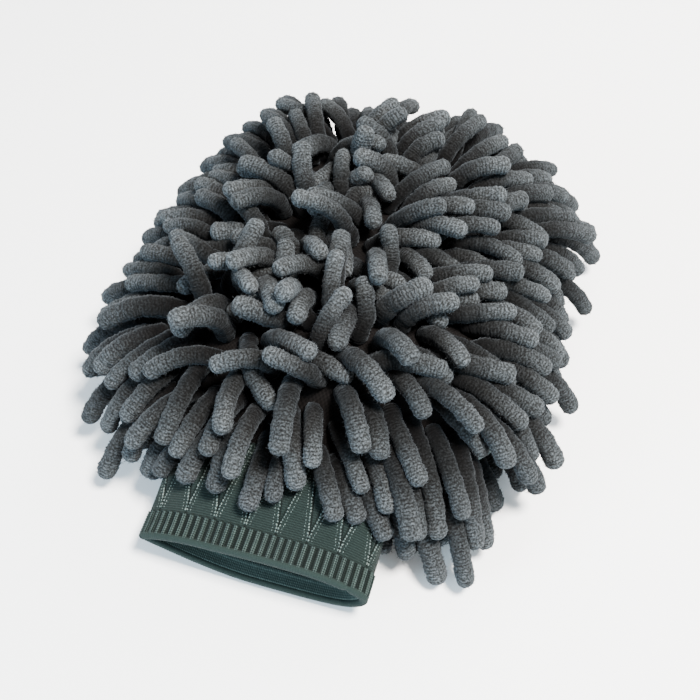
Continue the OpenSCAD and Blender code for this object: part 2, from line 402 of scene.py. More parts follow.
def settle(roots, ways, lengths):
    """Chains of beads sink, bend and pile up on the bag and the floor."""
    n = len(roots)
    seg = lengths / (BEADS - 1)
    line = roots[:, None] + ways[:, None] * (np.arange(BEADS)[None, :, None] * seg[:, None, None])
    p = line.copy()
    p[..., 2] = np.maximum(p[..., 2], NOODLE_R)
    chain = np.repeat(np.arange(n), BEADS)
    number = np.tile(np.arange(BEADS), n)
    free = (number > 0)[:, None]
    # Beads at the roots are let into the cloth, so only the others are kept off it.
    off_cloth = (number > 1)[:, None]
    hold = np.where(np.arange(BEADS) > 0, HOLD, 0)[None, :, None]
    fit = arc_fit()
    v = np.zeros_like(p)
    for step in range(STEPS):
        if step % PAIR_STEPS == 0:
            pairs = close_pairs(p.reshape(-1, 3), chain, TOUCH + PAIR_MARGIN)
        touch = TOUCH * min(1.0, SLIM_START + (1 - SLIM_START) * step / (STEPS * 0.5))
        before = p.copy()
        v = v * DAMPING + GRAVITY * STEP_TIME
        p[:, 1:] += v[:, 1:] * STEP_TIME
        for _ in range(INNER_STEPS):
            keep_lengths(p, seg)
            p += hold * (line - p)
            arc = roots[:, None] + np.einsum("ij,njk->nik", fit, p - roots[:, None])
            p += ARC_STRENGTH * (arc - p)
            p[:, 0] = roots
            flat = p.reshape(-1, 3)
            flat = flat + np.where(free, push_apart(flat, pairs, touch), 0)
            flat = flat + np.where(off_cloth, inside_bag(flat, CLOTH_NEAR), 0)
            flat[:, 2] = np.where(free[:, 0], np.maximum(flat[:, 2], FLOOR_NEAR), flat[:, 2])
            p = flat.reshape(n, BEADS, 3)
        v = (p - before) / STEP_TIME
        speed = np.linalg.norm(v, axis=2, keepdims=True)
        v *= np.minimum(1, TOP_SPEED / np.maximum(speed, 1e-9))
    return p


# ---------- meshes ----------


def mesh_object(name, verts, quads, values=None, triangles=np.zeros((0, 3), int)):
    """An object from arrays of vertices and faces, with named float values for each vertex."""
    corners = np.concatenate([quads.ravel(), triangles.ravel()]).astype(np.int32)
    quad_starts = np.arange(len(quads)) * 4
    triangle_starts = quads.size + np.arange(len(triangles)) * 3
    starts = np.concatenate([quad_starts, triangle_starts]).astype(np.int32)
    mesh = bpy.data.meshes.new(name)
    mesh.vertices.add(len(verts))
    mesh.vertices.foreach_set("co", np.ascontiguousarray(verts, np.float32).ravel())
    mesh.loops.add(len(corners))
    mesh.loops.foreach_set("vertex_index", corners)
    mesh.polygons.add(len(starts))
    mesh.polygons.foreach_set("loop_start", starts)
    mesh.update(calc_edges=True)
    mesh.polygons.foreach_set("use_smooth", np.ones(len(starts), bool))
    for key, data in (values or {}).items():
        layer = mesh.attributes.new(key, "FLOAT", "POINT")
        layer.data.foreach_set("value", np.ascontiguousarray(data, np.float32).ravel())
    mesh.validate()
    obj = bpy.data.objects.new(name, mesh)
    bpy.context.collection.objects.link(obj)
    return obj


def finish_piece(obj, material, node=None):
    """Gives a piece its material and place in the frame; node is the CAD node it replaces."""
    obj.data.materials.append(material)
    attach(obj, "root")
    if node:
        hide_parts(node)


def grid_quads(rows, cols, loop_rows=False, loop_cols=True):
    """Quads between the neighbouring points of a grid, which may close into a loop either way."""
    i = np.repeat(np.arange(rows - (not loop_rows)), cols - (not loop_cols))
    j = np.tile(np.arange(cols - (not loop_cols)), rows - (not loop_rows))
    up, on = (i + 1) % rows, (j + 1) % cols
    return np.stack([i * cols + j, i * cols + on, up * cols + on, up * cols + j], 1)


def slab(name, outer, inner, closed, values=None):
    """A closed solid between two grids of points, joined at their edges."""
    rows, cols = outer.shape[:2]
    shift = rows * cols

    def wall(start, end):
        """Quads that join the two grids along an edge."""
        return np.stack([start, start + shift, end + shift, end], 1)

    face = grid_quads(rows, cols, False, closed)
    back = face[:, ::-1] + shift
    j = np.arange(cols if closed else cols - 1)
    k = (j + 1) % cols
    top = (rows - 1) * cols
    walls = [wall(j, k), wall(k + top, j + top)]
    if not closed:
        left = np.arange(rows - 1) * cols
        right = left + cols - 1
        walls += [wall(left + cols, left), wall(right, right + cols)]
    verts = np.concatenate([outer.reshape(-1, 3), inner.reshape(-1, 3)])
    both = {key: np.concatenate([data.reshape(-1)] * 2) for key, data in (values or {}).items()}
    return mesh_object(name, verts, np.concatenate([face, back, *walls]), both)


def add_grid_uv(obj, width, height, rows, cols):
    """UVs in millimetres: u round the piece and v along it, for knit and weave patterns."""
    index = np.zeros(len(obj.data.loops), np.int32)
    obj.data.loops.foreach_get("vertex_index", index)
    index %= rows * cols
    row, col = index // cols, index % cols
    # Faces that close a ring go on past the last column instead of back to the first.
    span = col.reshape(-1, 4).max(1) - col.reshape(-1, 4).min(1)
    closing = np.repeat(span > cols // 2, 4)
    col = np.where(closing & (col < cols // 2), col + cols, col)
    layer = obj.data.uv_layers.new(name="cloth")
    uv = np.stack([col / cols * width / MM, row / (rows - 1) * height / MM], 1)
    layer.data.foreach_set("uv", uv.astype(np.float32).ravel())


def cloth_piece(name, outer, inner, closed, size, material, slot, node=None, values=None):
    """A sheet between two grids of points, with its pattern laid over size metres."""
    obj = slab(name, outer, inner, closed, values)
    add_grid_uv(obj, *size, *outer.shape[:2])
    finish_piece(obj, material, node)
    return obj


def sweep_grid(path, reference, closed, around=6):
    """Sections of a thread along a path, as points by around by 3."""
    if closed:
        tangent = unit(np.roll(path, -1, 0) - np.roll(path, 1, 0))
    else:
        tangent = unit(np.gradient(path, axis=0))
    side = unit(np.cross(tangent, reference))
    up = np.cross(side, tangent)
    a = np.arange(around) / around * 2 * np.pi
    ring = side[:, None] * np.cos(a)[None, :, None] + up[:, None] * np.sin(a)[None, :, None]
    return path[:, None] + ring * THREAD_R


def join_tubes(name, grids, closed):
    """One object from several swept threads."""
    verts, quads, at = [], [], 0
    for grid in grids:
        points, around = grid.shape[:2]
        quads.append(at + grid_quads(points, around, closed))
        verts.append(grid.reshape(-1, 3))
        at += points * around
    return mesh_object(name, np.concatenate(verts), np.concatenate(quads))


def bead(around=6, rings=4):
    """A small rounded stitch, 1 long and 1 across, lying along its first axis."""
    t = np.linspace(0, math.pi, rings + 1)[:, None]
    a = (np.arange(around) / around * 2 * math.pi)[None]
    x = 0.5 * np.cos(t) * np.ones_like(a)
    y = 0.5 * np.sin(t) * np.cos(a)
    z = 0.5 * np.sin(t) * np.sin(a)
    return np.stack([x, y, z], -1).reshape(-1, 3), grid_quads(rings + 1, around)


def place_beads(name, stitches, length, width):
    """One object with a bead for every stitch; stitches holds points, axes, normals and sizes."""
    points, axes, normals, sizes = (np.concatenate(part) for part in zip(*stitches))
    shape, quads = bead()
    v = points[:, None]
    for k, (way, extent) in enumerate(((axes, length), (np.cross(normals, axes), width), (normals, width))):
        v = v + way[:, None] * shape[None, :, k : k + 1] * extent * sizes[:, None, None]
    q = quads[None] + (np.arange(len(points)) * len(shape))[:, None, None]
    return mesh_object(name, v.reshape(-1, 3), q.reshape(-1, 4))


# ---------- noodles as meshes ----------

RINGS = 84
AROUND = 10
RIDGE = 1.45 * MM
RIDGE_HEIGHT = 0.05
# Noodles sink into the cloth at the root, and end in a blunt tip.
ROOT_DEPTH = 1.5 * MM
TIP_LENGTH = NOODLE_R * 0.9
# Unevenness as shares of the radius: of whole noodles, in waves, in lumps and across the section.
FATNESS = 0.05
WAVE = 0.035
WAVE_LEN = 9 * MM
LUMP = 0.035
OVAL = 0.05
FLOOR_GAP = 0.1 * MM

FIBRES = 520
# Shortest and longest bristle, in millimetres.
BRISTLE_LEN = (0.7, 1.5)
BRISTLE_HALF = 0.11 * MM
BRISTLE_ROOT = 0.3 * MM
BRISTLE_SCATTER = 0.25 * MM
BRISTLE_SPLAY = 0.55


def curve_points(p, t):
    """Catmull-Rom curve through the beads of every noodle at parameters t in 0..1."""
    k = p.shape[1]
    padded = np.concatenate([2 * p[:, :1] - p[:, 1:2], p, 2 * p[:, -1:] - p[:, -2:-1]], 1)
    x = t * (k - 1)
    i = np.minimum(x.astype(int), k - 2)
    f = (x - i)[None, :, None]
    a, b, c, d = (padded[:, i + s] for s in range(4))
    curve = 2 * b + (c - a) * f + (2 * a - 5 * b + 4 * c - d) * f**2
    return 0.5 * (curve + (3 * b - 3 * c + d - a) * f**3)


def curve_frames(centre):
    """Two directions square to every noodle's curve, carried along it without twisting."""
    tangent = unit(np.gradient(centre, axis=1))
    side = np.zeros_like(centre)
    side[:, 0] = unit(np.cross(tangent[:, 0], np.array([0.31, 0.12, 0.94])))
    for k in range(1, RINGS):
        s = side[:, k - 1] - tangent[:, k] * (side[:, k - 1] * tangent[:, k]).sum(1, keepdims=True)
        side[:, k] = unit(s)
    return side, np.cross(tangent, side)


def rounded(distance, length):
    """Share of the full radius at a distance from a blunt end that is length long."""
    return np.sqrt(np.clip(1 - (1 - np.clip(distance / length, 0, 1)) ** 2, 0, 1))


def noodle_rings(p, lengths):
    """Vertices of every noodle as n, rings, around, 3, the outward directions there, and t along each."""
    n = len(p)
    t = np.linspace(0, 1, RINGS)
    centre = curve_points(p, t)
    side, other = curve_frames(centre)
    along = t[None] * lengths[:, None]
    tip = rounded(lengths[:, None] - along, TIP_LENGTH)
    base = rounded(along + ROOT_DEPTH, NOODLE_R)
    fat = rng.normal(1, FATNESS, (n, 1))
    phase = rng.uniform(0, 2 * np.pi, (n, 1))
    ridge = 0.98 + RIDGE_HEIGHT * np.abs(np.sin(along / RIDGE * np.pi + phase))
    slow = 1 + WAVE * np.sin(along / WAVE_LEN * 2 * np.pi + 2 * phase)
    radius = NOODLE_R * fat * ridge * slow * tip * base
    angle = np.arange(AROUND) / AROUND * 2 * np.pi
    lumps = 1 + LUMP * rng.standard_normal((n, RINGS, AROUND))
    oval = 1 + OVAL * np.cos(2 * angle[None, None] + phase[:, :, None])
    r = radius[:, :, None] * lumps * oval
    ring = side[:, :, None] * np.cos(angle)[None, None, :, None]
    ring = ring + other[:, :, None] * np.sin(angle)[None, None, :, None]
    verts = centre[:, :, None] + ring * r[..., None]
    verts[..., 2] = np.maximum(verts[..., 2], FLOOR_GAP)
    return verts, ring, t


def fuzz(verts, normals, t):
    """Short bristles on the noodles: a thin triangle each, standing on a random point of the surface."""
    n = len(verts)
    ring = rng.integers(RINGS // 6, RINGS, (n, FIBRES))
    spoke = rng.integers(0, AROUND, (n, FIBRES))
    row = np.arange(n)[:, None]
    foot = verts[row, ring, spoke] + rng.normal(0, BRISTLE_SCATTER, (n, FIBRES, 3))
    out = normals[row, ring, spoke]
    way = unit(out + rng.normal(0, BRISTLE_SPLAY, foot.shape))
    flat = unit(np.cross(way, rng.normal(0, 1, foot.shape)))
    length = rng.uniform(*BRISTLE_LEN, (n, FIBRES, 1)) * MM
    foot = foot - out * BRISTLE_ROOT
    corners = [foot - flat * BRISTLE_HALF, foot + flat * BRISTLE_HALF, foot + way * length]
    corners = np.stack(corners, 2)
    corners[..., 2] = np.maximum(corners[..., 2], FLOOR_GAP)
    return corners.reshape(n, -1, 3), np.repeat(t[ring], 3, 1)


def tube_quads(count):
    """Quads of count separate noodles."""
    firsts = np.arange(count) * RINGS * AROUND
    return (grid_quads(RINGS, AROUND)[None] + firsts[:, None, None]).reshape(-1, 4)


def make_row(node, verts, bristles, t, bristle_t, lengths, tone, material):
    """One row of noodles with their bristles; "along", "reach" and "tone" drive the colour, and "along"
    carries the painted shade at the roots and the painted light at the tips.
    """
    count = len(verts)
    body_t = np.broadcast_to(t[None, :, None], verts.shape[:3]).reshape(count, -1)
    parts = (body_t, bristle_t)
    reach, tone = lengths[:, None] / MM, tone[:, None]
    data = {
        "along": parts,
        "reach": [part * reach for part in parts],
        "tone": [np.broadcast_to(tone, part.shape) for part in parts],
    }
    values = {key: np.concatenate([part.ravel() for part in pair]) for key, pair in data.items()}
    body, hair = verts.reshape(-1, 3), bristles.reshape(-1, 3)
    triangles = len(body) + np.arange(len(hair)).reshape(-1, 3)
    obj = mesh_object("pile_" + node, np.concatenate([body, hair]), tube_quads(count), values, triangles)
    finish_piece(obj, material, node)


def make_pile():
    roots, ways, rows = plant()
    lengths = noodle_lengths(roots, rows)
    verts, normals, t = noodle_rings(settle(roots, ways, lengths), lengths)
    bristles, bristle_t = fuzz(verts, normals, t)
    material = chenille_material()
    tone = rng.uniform(0, 1, len(roots))
    for number, node in enumerate(UPPER_ROWS + LOWER_ROWS):
        mine = rows == number
        make_row(node, verts[mine], bristles[mine], t, bristle_t[mine], lengths[mine], tone[mine], material)


# ---------- materials ----------


def new_material(name, roughness, sheen):
    mat = bpy.data.materials.new(name)
    mat.use_nodes = True
    shader = mat.node_tree.nodes["Principled BSDF"]
    shader.inputs["Roughness"].default_value = roughness
    shader.inputs["Sheen Weight"].default_value = sheen
    shader.inputs["Sheen Roughness"].default_value = 0.5
    shader.inputs["Specular IOR Level"].default_value = 0.06
    return mat, shader


class Mixer:
    """A new material and short names for its nodes."""

    def __init__(self, name, roughness, sheen):
        self.mat, self.shader = new_material(name, roughness, sheen)
        self.nodes = self.mat.node_tree.nodes
        self.links = self.mat.node_tree.links
        self.coord = self.nodes.new("ShaderNodeTexCoord")

    def feed(self, socket, value):
        if isinstance(value, bpy.types.NodeSocket):
            self.links.new(value, socket)
        else:
            socket.default_value = value

    def math(self, operation, a, b=0.0, clamp=False):
        node = self.nodes.new("ShaderNodeMath")
        node.operation = operation
        node.use_clamp = clamp
        self.feed(node.inputs[0], a)
        self.feed(node.inputs[1], b)
        return node.outputs[0]

    def times(self, a, b, clamp=False):
        return self.math("MULTIPLY", a, b, clamp)

    def plus(self, a, b, clamp=False):
        return self.math("ADD", a, b, clamp)

    def wave(self, value, turns):
        return self.math("SINE", self.times(value, turns))

    def attribute(self, name):
        node = self.nodes.new("ShaderNodeAttribute")
        node.attribute_name = name
        return node.outputs["Fac"]

    def cloth_axes(self):
        """Distances across and along a piece of cloth, in millimetres."""
        parts = self.nodes.new("ShaderNodeSeparateXYZ")
        self.links.new(self.coord.outputs["UV"], parts.inputs["Vector"])
        return parts.outputs["X"], parts.outputs["Y"]

    def noise(self, scale, detail=3.0):
        node = self.nodes.new("ShaderNodeTexNoise")
        node.inputs["Scale"].default_value = scale
        node.inputs["Detail"].default_value = detail
        self.links.new(self.coord.outputs["Object"], node.inputs["Vector"])
        return node.outputs["Fac"]

    def remap(self, value, to_low, to_high):
        """A value from 0 to 1 turned into one from to_low to to_high."""
        node = self.nodes.new("ShaderNodeMapRange")
        for socket, number in zip(node.inputs[1:5], (0, 1, to_low, to_high)):
            socket.default_value = number
        self.links.new(value, node.inputs[0])
        return node.outputs[0]

    def ramp(self, value, *stops):
        """Colours at places from 0 to 1."""
        node = self.nodes.new("ShaderNodeValToRGB")
        elements = node.color_ramp.elements
        while len(elements) < len(stops):
            elements.new(0.5)
        for element, (place, colour) in zip(elements, stops):
            element.position = place
            element.color = (*colour, 1)
        self.links.new(value, node.inputs[0])
        return node.outputs["Color"]

    def multiply(self, colour, by):
        node = self.nodes.new("ShaderNodeMix")
        node.data_type = "RGBA"
        node.blend_type = "MULTIPLY"
        # Socket 0 is the share, 6 and 7 take the colours, and output 2 gives the product.
        node.inputs[0].default_value = 1
        self.feed(node.inputs[6], colour)
        self.feed(node.inputs[7], by)
        return node.outputs[2]

    def finish(self, colour, height, depth, strength):
        """The material with its colour and a bump depth metres deep."""
        self.links.new(colour, self.shader.inputs["Base Color"])
        bump = self.nodes.new("ShaderNodeBump")
        bump.inputs["Strength"].default_value = strength
        bump.inputs["Distance"].default_value = depth
        self.links.new(height, bump.inputs["Height"])
        self.links.new(bump.outputs["Normal"], self.shader.inputs["Normal"])
        return self.mat


def chenille_material():
    """Speckled, ridged pile, with painted shade near black at the roots and painted light at the tips."""
    m = Mixer("chenille", 0.95, 0.05)
    m.shader.inputs["Sheen Tint"].default_value = (0.75, 0.85, 0.95, 1)
    speck = m.noise(1250)
    wander = m.times(m.noise(260, 1.0), 5.0)
    turn = m.plus(m.times(m.attribute("reach"), math.pi / (RIDGE / MM)), wander)
    ridge = m.math("ABSOLUTE", m.math("SINE", turn))
    height = m.plus(m.times(speck, 0.95), m.times(ridge, 0.13))
    # The colour follows the bump's height, so the low flecks and the grooves between the ridges are darker:
    # partly the fibres' own mottle, partly painted shade in the hollows of the pile.
    fibres = m.ramp(
        height,
        (0.36, (0.007, 0.007, 0.007)),
        (0.53, (0.02, 0.0215, 0.022)),
        (0.74, (0.062, 0.071, 0.078)),
    )
    # Painted shade and light: this ramp along each noodle paints the roots near black and warm, as the shade
    # between the noodles, and lifts the tips above the fibres' colour as painted light.
    depth = m.ramp(
        m.attribute("along"),
        (0.15, (0.03, 0.02, 0.018)),
        (0.5, (0.28, 0.265, 0.255)),
        (0.95, (1.25, 1.25, 1.25)),
    )
    tone = m.remap(m.attribute("tone"), 0.65, 1.15)
    return m.finish(m.multiply(m.multiply(fibres, depth), tone), height, 0.5 * MM, 0.8)


def knit_material(name, dark, light, wale, course, hollows=True):
    """Knit: columns of V stitches wale millimetres wide and course long, with painted shade darkening the
    hollows.
    """
    m = Mixer(name, 0.9, 0.03)
    across, along = m.cloth_axes()
    column = m.math("ABSOLUTE", m.wave(across, math.pi / wale))
    rows = m.times(along, 2 * math.pi / course)
    stitch = m.math("SINE", m.plus(rows, m.times(column, 1.6)))
    loops = m.plus(m.times(column, 0.6), m.times(stitch, 0.2), True)
    height = m.times(loops, m.plus(m.noise(900, 4.0), 0.5), True)
    # Painted shade: the "dark" attribute darkens the colour in the hollows of the knit.
    if hollows:
        lit = m.math("SUBTRACT", 1.0, m.times(m.attribute("dark"), 0.9), True)
        height = m.times(height, lit, True)
    return m.finish(m.ramp(height, (0, dark), (0.85, light)), height, 0.35 * MM, 0.8)


def woven_material(name, dark, light, pitch):
    """Plain weave with threads pitch millimetres apart."""
    m = Mixer(name, 0.85, 0.0)
    warp, weft = (m.wave(axis, math.pi / pitch) for axis in m.cloth_axes())
    crossing = m.plus(m.times(m.times(warp, weft), 0.35), 0.5)
    height = m.times(crossing, m.plus(m.noise(700, 4.0), 0.5), True)
    return m.finish(m.ramp(height, (0.1, dark), (0.8, light)), height, 0.2 * MM, 0.7)


def thread_material(name, dark, light):
    """Twisted sewing thread."""
    m = Mixer(name, 0.75, 0.05)
    twist = m.noise(500)
    return m.finish(m.ramp(twist, (0.35, dark), (0.65, light)), twist, 0.2 * MM, 0.5)


# ---------- cuff ----------

RIB_END = (low("cuff_sleeve")[1] - MOUTH_Y) / CUFF_LEN
PLY = 1.4 * MM
RIBS = 64
COLUMNS_PER_RIB = 12
CELLS = 16

RIM_R = 1.5 * MM
RIM_WIDTH = 1.25
RIM_INSET = 1.3 * MM
RIM_WALES = 192
# The ribs and the inner ply start inside the rim's fold, and the knit runs a little way into the bag.
BAND_START = 1.4 * RIM_R / CUFF_LEN
PAST_NECK = 1.02
# Widths that the knit patterns are laid over.
OUTER_PATTERN = 4.3 * CUFF_HALF
INNER_PATTERN = 4.1 * CUFF_HALF

# Form of the mouth, which fades towards the neck; only the ripple goes all the way.
MOUTH_ZONE = 0.9
LEFT_END, RIGHT_END = 1.55, 2.5
TOP_FLAT, BOTTOM_FLAT = 0.96, 0.94
TWIST = 0.7 * MM
RIPPLE = 0.5 * MM
LIP = 0.8 * MM

# The lattice: heights are shares of the cuff's length, and distances round it are in cells.
LATTICE_START = RIB_END + 0.03
LATTICE_HEIGHT = 0.78
LINE_INSETS = ((0.03, 1.0), (0.15, 0.6))
GROOVE_HALF = 0.035
GROOVE_INSET = 0.05
GROOVE_DEPTH = 0.45 * MM
STITCH_STEP = 1.5 * MM

# The ribs rise out of hollows that are let into the knit's face.
RIB_HEIGHT = 1.1 * MM
RIB_HOLLOW = 0.35 * MM
RIB_STITCH = 1.15 * MM

# The inner ply lies clear of the outer one, with fine wales and three courses that stand proud.
INNER_OUT = -2.4 * MM
INNER_PLY = 1.2 * MM
INNER_WALES = 256
WALE_HEIGHT = 0.22 * MM
COURSE_PLACES = (0.16, 0.24, 0.47)
COURSE_HALF = 0.8 * MM
COURSE_HEIGHT = 0.55 * MM

# The closing seam's place round the cuff as a share of its girth.
CLOSING_AT = 0.055
CLOSING_OUT = -3.8 * MM
CLOSING_STITCH = 1.6 * MM


def cuff_form(v, count, d):
    """Points round the cuff at v, 0 at the mouth and 1 at the neck, evenly spaced from the right end."""
    y = mix(MOUTH_Y, NECK_Y, v)
    a = np.linspace(0, 2 * math.pi, 721)
    near = 1 - smooth(v / MOUTH_ZONE)
    left = np.cos(a) < 0
    top = np.sin(a) > 0
    round_end = mix(FULLNESS, np.where(left, LEFT_END, RIGHT_END), near)
    flatter = mix(1, np.where(top, TOP_FLAT, BOTTOM_FLAT), near)
    x = np.sign(np.cos(a)) * (CUFF_HALF + d) * np.abs(np.cos(a)) ** (2 / round_end)
    z = np.sign(np.sin(a)) * (CUFF_RISE + d) * np.abs(np.sin(a)) ** (2 / round_end) * flatter
    swing = TWIST * np.sin(2 * a + 0.6) * near + RIPPLE * np.sin(5 * a + 1.9 + 3 * v)
    lip = np.where(top, 0, LIP * np.sin(a) ** 2) * near
    p = np.stack([x, y - lip, seam_z(y) + z + swing], -1)
    s = run_along(p)
    at = np.arange(count) / count * s[-1]
    return np.stack([np.interp(at, s, p[:, k]) for k in range(3)], -1)


def cuff_grid(v, count, d=0.0):
    """Grid of cuff points and their outward normals, rows by count."""
    p = np.stack([cuff_form(t, count, d) for t in v])
    around = np.roll(p, -1, 1) - np.roll(p, 1, 1)
    along = np.gradient(p, axis=0)
    return p, unit(np.cross(along, around))


def lattice_reach(v):
    """Half width of a cell's diamond at v, in cells."""
    return 0.5 * triangle_wave((v - LATTICE_START) / LATTICE_HEIGHT * 0.5)


def lattice_lines():
    """Centre lines of the raised lattice as u, v and the size of the stitches; u counts cells."""
    v = np.linspace(LATTICE_START, 1.0, 200)
    first_inset = LINE_INSETS[0][0]
    lines = []
    for cell in range(CELLS):
        for hand in (-1, 1):
            for inset, size in LINE_INSETS:
                off = np.maximum(inset, lattice_reach(v) + inset - first_inset)
                lines.append((cell + 0.5 + hand * off, v, size))
    return lines


def groove_depth(u, v):
    """0 to 1 near the dark lines that run beside the lattice: grooves pressed into the knit and darkened with
    painted shade; u is in cells.
    """
    reach = np.maximum(0.0, lattice_reach(v) - GROOVE_INSET)
    off = np.abs(np.abs(u - np.floor(u) - 0.5) - reach)
    return np.exp(-((off / GROOVE_HALF) ** 2)) * (v > RIB_END)


def make_cuff_sleeve(material):
    rows, cols = 84, 512
    v = np.linspace(RIB_END, PAST_NECK, rows)
    p, n = cuff_grid(v, cols)
    u = np.arange(cols) / cols * CELLS
    groove = groove_depth(u, v[:, None])
    outer = p - n * (GROOVE_DEPTH * groove)[..., None]
    size = (OUTER_PATTERN, CUFF_LEN * (PAST_NECK - RIB_END))
    form = ("sleeve_knit", outer, p - n * PLY, True, size)
    # The grooves go in as "dark", which paints shade into them.
    return cloth_piece(*form, material, "cuff_knit", "cuff_sleeve", {"dark": groove})


def stitch_places(line, first, spacing):
    """Numbers of the points of a path that single stitches stand on."""
    s = run_along(line)
    return np.clip(np.searchsorted(s, np.arange(first, s[-1], spacing)), 1, len(s) - 2)


def make_lattice_stitches(material):
    """Dots of light thread that stand proud of the sleeve."""
    rows, cols = 160, 720
    p, n = cuff_grid(np.linspace(RIB_END, 1.0, rows), cols)
    stitches = []
    for u, v, size in lattice_lines():
        col = np.round(u / CELLS * cols).astype(int) % cols
        row = np.clip(np.round((v - RIB_END) / (1 - RIB_END) * (rows - 1)).astype(int), 0, rows - 1)
        line = p[row, col]
        pick = stitch_places(line, 0.3 * STITCH_STEP, STITCH_STEP)
        axes = unit(line[pick + 1] - line[pick - 1] + 1e-9)
        sizes = size * rng.uniform(0.8, 1.1, len(pick))
        stitches.append((line[pick], axes, n[row[pick], col[pick]], sizes))
    obj = place_beads("lattice_stitches", stitches, 1.15 * MM, 0.8 * MM)
    finish_piece(obj, material)
    return obj


def make_rib_band(material):
    rows, cols = 52, RIBS * COLUMNS_PER_RIB
    v = np.linspace(BAND_START, RIB_END, rows)
    p, n = cuff_grid(v, cols)
    turn = np.arange(cols) / cols * RIBS
    rib = np.clip(1.25 * np.cos(2 * np.pi * turn) + 0.35, 0, 1) ** 0.7
    stitch = np.abs(np.sin(np.pi * v * CUFF_LEN / RIB_STITCH))
    up = rib[None, :] * (0.75 + 0.25 * stitch[:, None])
    outer = p + n * (up * RIB_HEIGHT - RIB_HOLLOW)[..., None]
    form = ("rib_band_knit", outer, p - n * PLY, True, (OUTER_PATTERN, CUFF_LEN * RIB_END))
    # The valleys between the ribs go in as "dark", which paints shade into them.
    return cloth_piece(*form, material, "rib_knit", "cuff_rib_band", {"dark": 1 - up})


def make_rim(material):
    """Smooth rolled fold at the mouth, with fine stitches across it and a notch at the closing seam."""
    cols, around = 768, 14
    p, n = cuff_grid(np.linspace(0, 0.08, 4), cols)
    back = unit(p[1] - p[0])
    normal = n[0]
    centre = p[0] + back * RIM_R - normal * RIM_INSET
    a = np.arange(around) / around * 2 * np.pi
    col = np.arange(cols)
    wale = 1 + 0.05 * np.sin(col / cols * 2 * np.pi * RIM_WALES)
    notch = 0.35 * np.exp(-(((col - CLOSING_AT * cols) / 4) ** 2))
    size = RIM_R * wale * (1 - notch)
    ring = normal[:, None] * np.cos(a)[None, :, None] * RIM_WIDTH
    ring = ring + back[:, None] * np.sin(a)[None, :, None]
    obj = join_tubes("rolled_rim", [centre[:, None] + ring * size[:, None, None]], True)
    finish_piece(obj, material, "cuff_folded_rim")
    return obj


def make_inner_ply(material):
    rows, cols = 90, 512
    v = np.linspace(BAND_START, PAST_NECK, rows)
    p, n = cuff_grid(v, cols, INNER_OUT)
    wale = np.abs(np.sin(np.arange(cols) / cols * np.pi * INNER_WALES))[None, :]
    courses = sum(np.exp(-(((v - at) * CUFF_LEN / COURSE_HALF) ** 2)) for at in COURSE_PLACES)
    inward = WALE_HEIGHT * wale + COURSE_HEIGHT * courses[:, None]
    inner = p - n * (INNER_PLY + inward)[..., None]
    # The gaps between the wales go in as "dark", which paints shade into them.
    hollows = np.broadcast_to(1 - wale, (rows, cols))
    form = ("inner_ply_knit", p, inner, True, (INNER_PATTERN, CUFF_LEN))
    return cloth_piece(*form, material, "cuff_lining_knit", "cuff_inner_ply", {"dark": hollows})


def make_closing_seam(material):
    """Overlocked ridge down the inside of the cuff near its right end."""
    cols, half = 720, 6
    v = np.linspace(0.06, 0.98, 120)
    p, n = cuff_grid(v, cols, CLOSING_OUT)
    picks = np.arange(-half, half + 1)
    across = (int(CLOSING_AT * cols) + picks) % cols
    profile = np.cos(picks / half * np.pi / 2) ** 0.5
    stitch = 1 + 0.25 * np.sin(v * CUFF_LEN / CLOSING_STITCH * 2 * np.pi)
    height = (0.4 + profile[None, :, None] * stitch[:, None, None]) * MM
    outer = p[:, across]
    obj = slab("closing_seam_ridge", outer, outer - n[:, across] * height, False)
    finish_piece(obj, material, "cuff_closing_seam")


def make_elastic_threads(material, count=3, cols=360):
    """Elastic laid between the two plies, under the ribs."""
    start, depth = 2 * RIM_R / CUFF_LEN, -1.9 * MM
    places = [mix(start, RIB_END, k / (count + 1)) for k in range(1, count + 1)]
    rings = [sweep_grid(cuff_form(v, cols, depth), ALONG_MITT, True) for v in places]
    obj = join_tubes("elastic_rings", rings, True)
    finish_piece(obj, material, "cuff_elastic_threads")


def make_joining_stitches(material, zigzag=2.4 * MM, bends=72):
    """Zigzag thread that holds the sleeve to the backing, inside the neck."""
    a = np.linspace(0, 2 * math.pi, 4 * bends, endpoint=False)
    y = NECK_Y + zigzag * (1 - 2 * triangle_wave(np.arange(4 * bends) / 8))
    path = skin(y, a, -PLY - 2 * THREAD_R)
    obj = join_tubes("neck_zigzag_thread", [sweep_grid(path, ALONG_MITT, True)], True)
    finish_piece(obj, material, "cuff_joining_stitches")


def make_cuff():
    sleeve_knit = knit_material("sleeve_knit", (0.002, 0.0036, 0.0032), (0.0145, 0.0235, 0.0215), 0.55, 1.0)
    band_knit = knit_material("rib_knit", (0.0015, 0.0028, 0.0026), (0.043, 0.062, 0.057), 0.88, 1.15)
    rim_knit = knit_material("rim_knit", (0.011, 0.018, 0.0165), (0.048, 0.066, 0.061), 0.6, 1.2, False)
    inner_knit = knit_material("inner_knit", (0.012, 0.02, 0.018), (0.085, 0.12, 0.108), 0.45, 1.1)
    dark_thread = thread_material("dark_thread", (0.012, 0.016, 0.017), (0.04, 0.05, 0.052))
    light_thread = thread_material("light_thread", (0.028, 0.042, 0.04), (0.095, 0.12, 0.112))
    elastic = thread_material("elastic", (0.01, 0.01, 0.011), (0.03, 0.03, 0.032))
    sleeve = make_cuff_sleeve(sleeve_knit)
    stitches = make_lattice_stitches(light_thread)
    band = make_rib_band(band_knit)
    rim = make_rim(rim_knit)
    inner = make_inner_ply(inner_knit)
    make_closing_seam(sleeve_knit)
    make_elastic_threads(elastic)
    make_joining_stitches(dark_thread)


# ---------- bag ----------

